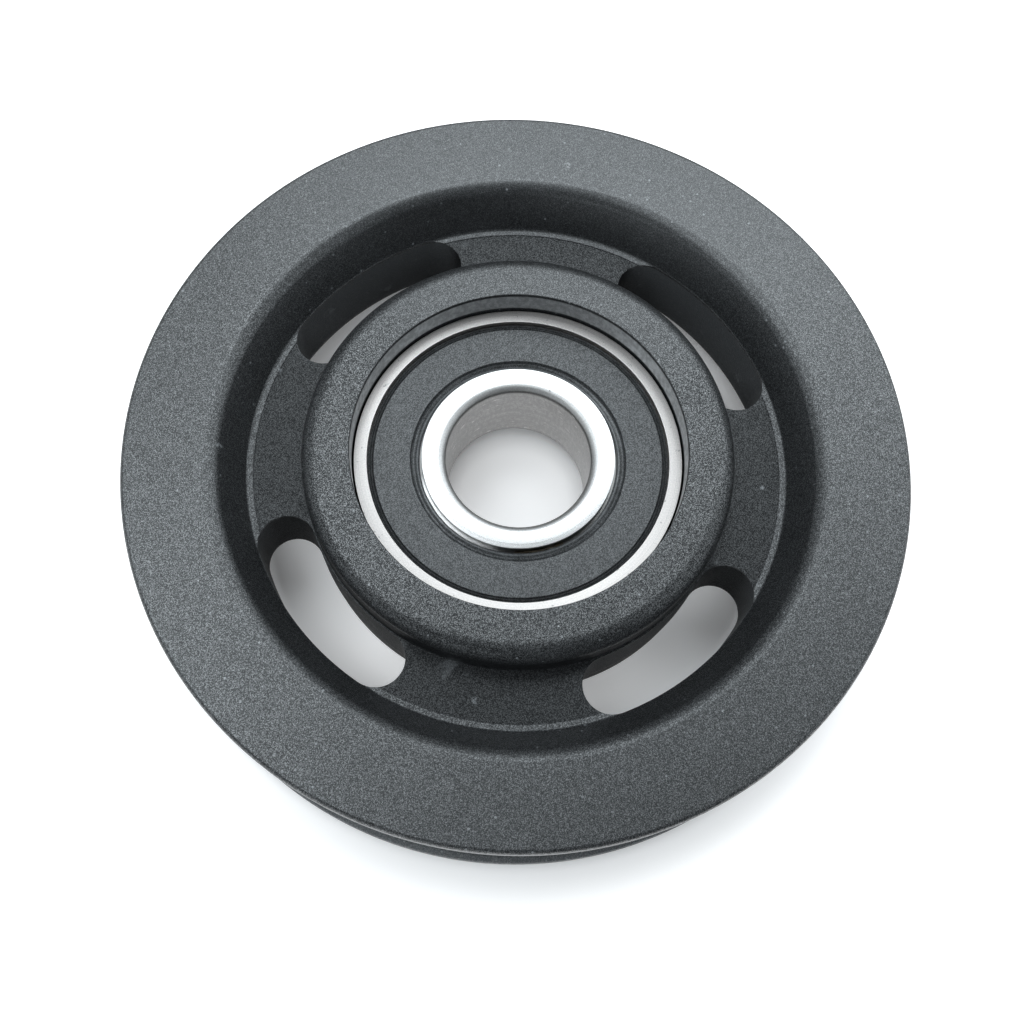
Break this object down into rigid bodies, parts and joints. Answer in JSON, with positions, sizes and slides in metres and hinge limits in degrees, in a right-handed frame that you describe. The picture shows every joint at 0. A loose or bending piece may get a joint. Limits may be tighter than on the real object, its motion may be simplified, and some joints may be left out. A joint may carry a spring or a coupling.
{
  "type": "idler pulley",
  "caption": "Idler pulley: a moulded wheel with a deep cable groove and a slotted web, turning on a sealed ball bearing in its hub.",
  "frame": {"origin": "centre of the bore on the wheel's middle plane", "axes": "+Z along the bore's axis; X and Y in the middle plane, with the web slots midway between them"},
  "size_m": [0.09, 0.09, 0.019],
  "materials": {
    "nylon": "fine moulded texture, glass filled, satin",
    "ring_steel": "ground bearing steel",
    "ball_steel": "polished bearing steel",
    "cage_steel": "pressed steel sheet",
    "rivet_steel": "plain steel rivets",
    "seal_rubber": "moulded nitrile rubber, matt"
  },
  "bodies": {
    "inner_ring": {"bearing_inner_ring": "ring_steel"},
    "wheel": {"pulley_wheel": "nylon", "bearing_outer_ring": "ring_steel", "seal_upper": "seal_rubber", "seal_lower": "seal_rubber"},
    "cage": {"cage_upper_half": "cage_steel", "cage_lower_half": "cage_steel", "cage_rivets": "rivet_steel"},
    "ball_1": {"bearing_ball_1": "ball_steel"},
    "ball_2": {"bearing_ball_2": "ball_steel"},
    "ball_3": {"bearing_ball_3": "ball_steel"},
    "ball_4": {"bearing_ball_4": "ball_steel"},
    "ball_5": {"bearing_ball_5": "ball_steel"},
    "ball_6": {"bearing_ball_6": "ball_steel"},
    "ball_7": {"bearing_ball_7": "ball_steel"},
    "ball_8": {"bearing_ball_8": "ball_steel"}
  },
  "joints": [
    {"name": "wheel_spin", "type": "hinge", "parent": "inner_ring", "child": "wheel", "pos_m": [0, 0, 0], "axis": [0, 0, 1], "continuous": true},
    {"name": "cage_orbit", "type": "hinge", "parent": "inner_ring", "child": "cage", "pos_m": [0, 0, 0], "axis": [0, 0, 1], "continuous": true},
    {"name": "ball_1_spin", "type": "hinge", "parent": "cage", "child": "ball_1", "pos_m": [0.01317, 0.00545, 0], "axis": [0, 0, 1], "continuous": true},
    {"name": "ball_2_spin", "type": "hinge", "parent": "cage", "child": "ball_2", "pos_m": [0.00545, 0.01317, 0], "axis": [0, 0, 1], "continuous": true},
    {"name": "ball_3_spin", "type": "hinge", "parent": "cage", "child": "ball_3", "pos_m": [-0.00545, 0.01317, 0], "axis": [0, 0, 1], "continuous": true},
    {"name": "ball_4_spin", "type": "hinge", "parent": "cage", "child": "ball_4", "pos_m": [-0.01317, 0.00545, 0], "axis": [0, 0, 1], "continuous": true},
    {"name": "ball_5_spin", "type": "hinge", "parent": "cage", "child": "ball_5", "pos_m": [-0.01317, -0.00545, 0], "axis": [0, 0, 1], "continuous": true},
    {"name": "ball_6_spin", "type": "hinge", "parent": "cage", "child": "ball_6", "pos_m": [-0.00545, -0.01317, 0], "axis": [0, 0, 1], "continuous": true},
    {"name": "ball_7_spin", "type": "hinge", "parent": "cage", "child": "ball_7", "pos_m": [0.00545, -0.01317, 0], "axis": [0, 0, 1], "continuous": true},
    {"name": "ball_8_spin", "type": "hinge", "parent": "cage", "child": "ball_8", "pos_m": [0.01317, -0.00545, 0], "axis": [0, 0, 1], "continuous": true}
  ],
  "couplings": [
    {"joint": "cage_orbit", "follows": "wheel_spin", "ratio": 0.61837},
    {"joint": "ball_1_spin", "follows": "wheel_spin", "ratio": 1.9937},
    {"joint": "ball_2_spin", "follows": "wheel_spin", "ratio": 1.9937},
    {"joint": "ball_3_spin", "follows": "wheel_spin", "ratio": 1.9937},
    {"joint": "ball_4_spin", "follows": "wheel_spin", "ratio": 1.9937},
    {"joint": "ball_5_spin", "follows": "wheel_spin", "ratio": 1.9937},
    {"joint": "ball_6_spin", "follows": "wheel_spin", "ratio": 1.9937},
    {"joint": "ball_7_spin", "follows": "wheel_spin", "ratio": 1.9937},
    {"joint": "ball_8_spin", "follows": "wheel_spin", "ratio": 1.9937}
  ]
}
